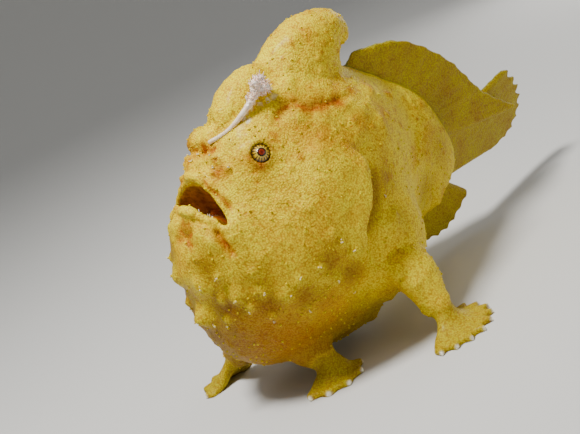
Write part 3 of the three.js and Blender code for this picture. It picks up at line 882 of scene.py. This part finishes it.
def raise_warts(free):
    """Warts on the points that are free for them, some of those on the back tinted."""
    for count, radius, height in WARTS:
        for _ in range(count):
            i = free[random.randrange(len(free))]
            size = radius * random.uniform(0.7, 1.3)
            _, y, z = work.fish[i]
            on_back = radius < TINTED_RADIUS and y > TINTED_BEHIND and z > TINTED_ABOVE
            tint = 0.7 * on_back * (random.random() < TINTED_SHARE)
            work.bump(work.fish[i], size, height * random.uniform(0.5, 1.2), LEFT, "orange",
                      tint)


def mark_painted_glints():
    """Painted glints: the small pale flecks beside the lure, which stand for highlights on the wet
    skin.
    """
    for u, v in PAINTED_GLINTS:
        index, distance = work.near(work.at_pixel(u, v), 2)
        work.mark("pale", index, 0.8 * np.exp(-(distance / random.uniform(0.6, 1.2)) ** 4))


def mark_fins_and_belly():
    """The pale tips of the feet's rays, the back fin's edge, and painted shade that darkens the
    belly towards its bottom.
    """
    for foot in FEET:
        for tip in ray_tips(foot):
            index, distance = work.near(tip, 2 * RAY_TIP_RADIUS)
            work.mark("pale", index, np.exp(-(distance / RAY_TIP_RADIUS) ** 4))
    # at the back fin's edge the skin faces up or back, not sideways
    edge = smoothstep(0.75, 0.4, np.abs(work.normals[:, 0])) * (work.normals[:, 2] > 0)
    on_back = (work.fish[:, 1] > BACK_FIN_BEHIND) & (work.fish[:, 2] > BACK_FIN_ABOVE)
    work.marks["margin"] = edge * on_back * smoothstep(0.6, 1, on_fin)
    # painted shade: the belly is darkened towards its bottom
    belly = smoothstep(-22, -52, work.fish[:, 2]) * smoothstep(150, 70, work.fish[:, 1])
    work.mark("painted_shade_and_brown_ground", slice(None), 0.75 * belly * (1 - on_fin))
    work.marks["inner"] = inner
    work.marks["fin"] = smoothstep(0.4, 1.0, on_fin)


work = Sculpture(skin)
for pixels, reach, move in LIP_PULLS:
    work.shift(pixels, reach, move)
work.look()
inner = inner_mouth()
bare = np.maximum(inner, on_fin)
raise_folds_and_mounds()
work.lift *= 1 - inner
calm = calm_places()
work.lift *= calm
work.apply()

random.seed(SEED)
raise_warts(np.where(bare < 0.3)[0])
mark_painted_glints()
work.lift *= (1 - bare) * calm
work.apply()
work.world[:, 2] = np.maximum(work.world[:, 2], 0)
write_points(skin.data, work.world)
work.refresh()

mark_fins_and_belly()
apply_modifier(skin, "DECIMATE", ratio=KEPT_FACES, use_collapse_triangulate=True)
nearest = [work.finder.find(p)[1] for p in to_fish(read_points(skin.data))]
for name, values in work.marks.items():
    store(skin.data, name, values[nearest])
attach(skin, "root")
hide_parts(*FLESH)


# The eyes
def make_eye(name, side):
    """An eyeball whose cornea bulges a little. Each point knows its angle from the line of
    sight and its turn round it, for the iris."""
    bpy.ops.object.select_all(action="DESELECT")
    bpy.ops.mesh.primitive_uv_sphere_add(segments=72, ring_count=48, radius=EYE_RADIUS * MM)
    eye = bpy.context.object
    eye.name = eye.data.name = name
    points = read_points(eye.data)
    radius = np.linalg.norm(points, axis=1)
    angle = np.arccos(np.clip(points[:, 2] / radius, -1, 1))
    store(eye.data, "gaze", angle / (math.pi / 2))
    store(eye.data, "turn", np.abs(np.arctan2(points[:, 1], points[:, 0])) / math.pi)
    points *= (1 + CORNEA_BULGE * (1 - smoothstep(0.25, 0.8, angle)))[:, None]
    centre = STAND @ on_side(EYE_CENTRE, side)
    write_points(eye.data, points @ np.array(eye_turn(side)).T + np.array(centre))
    bpy.ops.object.shade_smooth()
    return eye


eye_look = eye_material()
for side, word in ((LEFT, "left"), (RIGHT, "right")):
    eye = make_eye("eyeball_" + word, side)
    eye.data.materials.append(eye_look)
    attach(eye, "root")
    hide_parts("eye_" + word)


# The small soft pieces
def jitter(amount):
    return Vector([random.uniform(-amount, amount) for _ in range(3)])


def spike(shape, base, tip, radius, sides=5, tip_radius=0.0):
    """Adds a small tapered spike from base to tip, in the fish's frame, to a bmesh, and
    gives the number of its points, of which the tip is the last."""
    axis = (tip - base).normalized()
    first = axis.orthogonal().normalized()
    second = axis.cross(first)
    rings = []
    for place, width in ((base, radius), (base.lerp(tip, 0.55), radius * 0.72),
                         (base.lerp(tip, 0.9), radius * 0.42 + tip_radius)):
        ring = []
        for i in range(sides):
            turn = 2 * math.pi * i / sides
            around = first * math.cos(turn) + second * math.sin(turn)
            ring.append(shape.verts.new(STAND @ (place + around * width)))
        rings.append(ring)
    end = shape.verts.new(STAND @ tip)
    for i in range(sides):
        j = (i + 1) % sides
        for low, high in zip(rings, rings[1:]):
            shape.faces.new((low[i], low[j], high[j], high[i]))
        shape.faces.new((rings[-1][i], rings[-1][j], end))
    shape.faces.new(rings[0][::-1])
    return len(rings) * sides + 1


def object_of(shape, name):
    """An object from a bmesh, with its faces turned outwards."""
    mesh = bpy.data.meshes.new(name)
    bmesh.ops.recalc_face_normals(shape, faces=shape.faces)
    shape.to_mesh(mesh)
    shape.free()
    return link_object(name, mesh)


def finish_piece(obj, material):
    set_material(obj.data, material)
    pick(obj)
    bpy.ops.object.shade_smooth()
    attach(obj, "root")


# how many points of skin there are, and those that stand on the mounds, by pixel
TAG_COUNT = 900
CIRRI_IN_A_TUFT = 3
CIRRI = [(251, 310), (228, 324), (273, 321), (310, 308), (219, 277), (320, 267), (354, 289),
         (385, 196), (203, 286), (237, 297), (263, 291), (288, 294), (353, 249), (340, 242),
         (188, 157), (196, 153), (192, 162), (201, 318), (337, 277), (300, 279)]
CIRRUS_SIDES = 5


def make_tags():
    """Soft points of skin all over the fish, the long ones on the mounds with white tips."""
    shape = bmesh.new()
    white = []
    free = np.where(bare < 0.2)[0]
    for _ in range(TAG_COUNT):
        i = free[random.randrange(len(free))]
        normal = Vector(work.normals[i])
        base = Vector(work.fish[i]) - normal * 0.3
        tip = base + (normal + jitter(0.4)).normalized() * random.uniform(0.6, 1.1)
        white += [0.0] * spike(shape, base, tip, random.uniform(0.5, 0.8), 6, 0.2)
    for u, v in CIRRI:
        place = work.at_pixel(u, v)
        for side in SIDES:
            index, distance = work.near(place, 4, side)
            if not len(index):
                continue
            i = index[np.argmin(distance)]
            normal = Vector(work.normals[i])
            base = Vector(work.fish[i]) - normal * 0.4
            for _ in range(CIRRI_IN_A_TUFT):
                tip = base + (normal + jitter(0.6)).normalized() * random.uniform(1.3, 2.0)
                count = spike(shape, base, tip, 0.6, CIRRUS_SIDES)
                white += [0.0] * (count - CIRRUS_SIDES - 1) + [0.6] * CIRRUS_SIDES + [1.0]
    tags = object_of(shape, "skin_tags")
    finish_piece(tags, skin.data.materials[0])
    for name in MARKS:
        store(tags.data, name, np.zeros(len(white)))
    store(tags.data, "pale", np.array(white))
    store(tags.data, "lump", np.full(len(white), 0.6))


# the teeth stand this many pixels below the edge of the lip, apart from its last three
TEETH_BELOW_LIP = 5
TOOTH_STEP = 0.35
TOOTH_RADIUS = 0.22


def make_teeth():
    """Fine bristly teeth in two uneven rows along the lower lip, bent into the mouth."""
    shape = bmesh.new()
    front = [(u, v + TEETH_BELOW_LIP) for u, v in LOWER_LIP[:6]]
    back = Vector((0, 0.35, 1)).normalized()
    for place in work.line(front + LOWER_LIP[6:], TOOTH_STEP):
        for side in SIDES:
            if random.random() < 0.55:
                continue
            base = on_side(place, side)
            tip = base + (back + jitter(0.25)).normalized() * random.uniform(0.8, 1.5)
            spike(shape, base - back * 0.6, tip, TOOTH_RADIUS, 4)
    finish_piece(object_of(shape, "teeth"), tooth_material())


# the tongue's middle and half sizes, and the gum's lobes by pixel and size
TONGUE = (Vector((0, 38, 1.5)), (9, 10, 3.4))
GUM_LOBES = [(216, 212, 2.6), (223, 216, 2.8), (228, 221, 1.9)]


def make_tongue():
    """The tongue and the folds of gum at each corner of the mouth, as soft wet lobes."""
    lobes = [TONGUE]
    for u, v, size in GUM_LOBES:
        place = work.at_pixel(u, v)
        for side in SIDES:
            lobes.append((on_side(place, side), (size, size * 1.2, size * 0.75)))
    pieces = []
    for place, size in lobes:
        bpy.ops.object.select_all(action="DESELECT")
        bpy.ops.mesh.primitive_ico_sphere_add(subdivisions=3, radius=1)
        lobe = bpy.context.object
        lobe.matrix_world = STAND @ Matrix.Translation(place) @ Matrix.Diagonal((*size, 1))
        bpy.ops.object.transform_apply(location=True, rotation=True, scale=True)
        pieces.append(lobe)
    pick(*pieces)
    bpy.ops.object.join()
    tongue = bpy.context.object
    tongue.name = tongue.data.name = "tongue"
    finish_piece(tongue, wet_flesh_material())


# the direction of the rod from its root to the lure, in the fish's frame
LURE_AXIS = Vector((0.1, 0.55, 0.83))
LURE_VOXEL = 0.35 * MM
FRILL_COUNT = 120


def make_lure():
    """The rod and its frilly lure, which looks like a small pale shrimp."""
    look = lure_material()
    rod = link_object("lure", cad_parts["illicium"].data.copy())
    apply_modifier(rod, "REMESH", mode="VOXEL", voxel_size=LURE_VOXEL, use_smooth_shade=True)
    relax(rod.data, 6, np.zeros(len(rod.data.vertices)))
    points = to_fish(read_points(rod.data))
    normals = normals_in_fish(rod.data)
    along = points @ np.array(LURE_AXIS)
    reach = (along - along.min()) / (along.max() - along.min())
    rough = np.array([noise.noise(Vector(p) * 1.3) for p in points])
    push_out(rod.data, (0.7 * MM * rough * smoothstep(0.45, 0.8, reach))[:, None])
    set_material(rod.data, look)
    store(rod.data, "reach", reach)
    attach(rod, "root")
    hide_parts("illicium")
    shape = bmesh.new()
    frilled = np.where(reach > 0.62)[0]
    for _ in range(FRILL_COUNT):
        i = frilled[random.randrange(len(frilled))]
        lean = jitter(0.7) + LURE_AXIS * 0.6
        base = Vector(points[i])
        tip = base + (Vector(normals[i]) + lean).normalized() * random.uniform(1.2, 2.6)
        spike(shape, base, tip, 0.28, 4)
    frill = object_of(shape, "lure_frill")
    finish_piece(frill, look)
    store(frill.data, "reach", np.ones(len(frill.data.vertices)))


make_tags()
make_teeth()
make_tongue()
make_lure()

# The floor and the light, in metres and watts. Each lamp is given by its direction from the
# fish (camera right, up, back), how far away it is, its width and its power.
FLAT_RADIUS = 1.6
SWEEP_RADIUS = 1.2
SWEEP_STEP = math.radians(5)
SWEEP_STEPS = 18
FLOOR_SIDES = 72
LAMPS = {
    "key": ((-0.66, 0.8, 0.55), 0.8, 0.2, 10.5),
    "fill": ((0.9, 0.3, 0.7), 1.0, 0.8, 1.5),
    "rim": ((0.5, 0.7, -0.8), 0.9, 0.4, 2),
}
CEILING_HEIGHT = 2.2
CEILING_WIDTH = 2.5
CEILING_POWER = 12
SKY_STRENGTH = 0.22


def make_floor():
    """A pale floor that sweeps up into a wall all round, so that no horizon line shows."""
    material, tree, shader = new_material("floor_matt_paint")
    feed(tree, shader, {"Base Color": linear("#D2D0CA"), "Roughness": 0.9})
    radius = 0.5 * FLAT_RADIUS
    height = 0
    bpy.ops.object.select_all(action="DESELECT")
    bpy.ops.mesh.primitive_circle_add(vertices=FLOOR_SIDES, radius=radius, fill_type="NGON")
    floor = bpy.context.object
    floor.name = floor.data.name = "floor"
    bpy.ops.object.mode_set(mode="EDIT")
    bpy.ops.mesh.select_mode(type="EDGE")
    bpy.ops.mesh.select_all(action="SELECT")
    for step in range(SWEEP_STEPS + 1):
        turn = SWEEP_STEP * step
        rise = SWEEP_RADIUS * (1 - math.cos(turn)) - height
        wider = (FLAT_RADIUS + SWEEP_RADIUS * math.sin(turn)) / radius
        bpy.ops.mesh.extrude_edges_move(TRANSFORM_OT_translate={"value": (0, 0, rise)})
        bpy.ops.transform.resize(value=(wider, wider, 1), center_override=(0, 0, 0))
        radius *= wider
        height += rise
    bpy.ops.mesh.select_all(action="SELECT")
    bpy.ops.mesh.normals_make_consistent(inside=True)
    bpy.ops.object.mode_set(mode="OBJECT")
    set_material(floor.data, material)
    bpy.ops.object.shade_smooth()


def add_lamp(name, toward, away, width, power):
    """A round area light, aimed at the fish from a direction of the camera's frame."""
    camera_turn = bpy.context.scene.camera.matrix_world.to_3x3().normalized()
    back = camera_turn @ Vector(toward).normalized()
    bpy.ops.object.select_all(action="DESELECT")
    bpy.ops.object.light_add(type="AREA", location=STAND @ AIM + back * away)
    lamp = bpy.context.object
    lamp.name = name
    lamp.data.shape = "DISK"
    lamp.data.size = width
    lamp.data.energy = power
    lamp.rotation_euler = back.to_track_quat("Z", "Y").to_euler()


def light_the_room():
    """A wide weak light overhead, as from a white ceiling, and a pale sky all round."""
    bpy.ops.object.select_all(action="DESELECT")
    bpy.ops.object.light_add(type="AREA", location=(0, 0, CEILING_HEIGHT))
    ceiling = bpy.context.object
    ceiling.name = "ceiling"
    ceiling.data.size = CEILING_WIDTH
    ceiling.data.energy = CEILING_POWER
    sky = bpy.data.worlds.new("studio")
    sky.use_nodes = True
    feed(sky.node_tree, sky.node_tree.nodes["Background"],
         {"Color": linear("#DDE1E6"), "Strength": SKY_STRENGTH})
    bpy.context.scene.world = sky


make_floor()
for name, lamp in LAMPS.items():
    add_lamp(name, *lamp)
light_the_room()
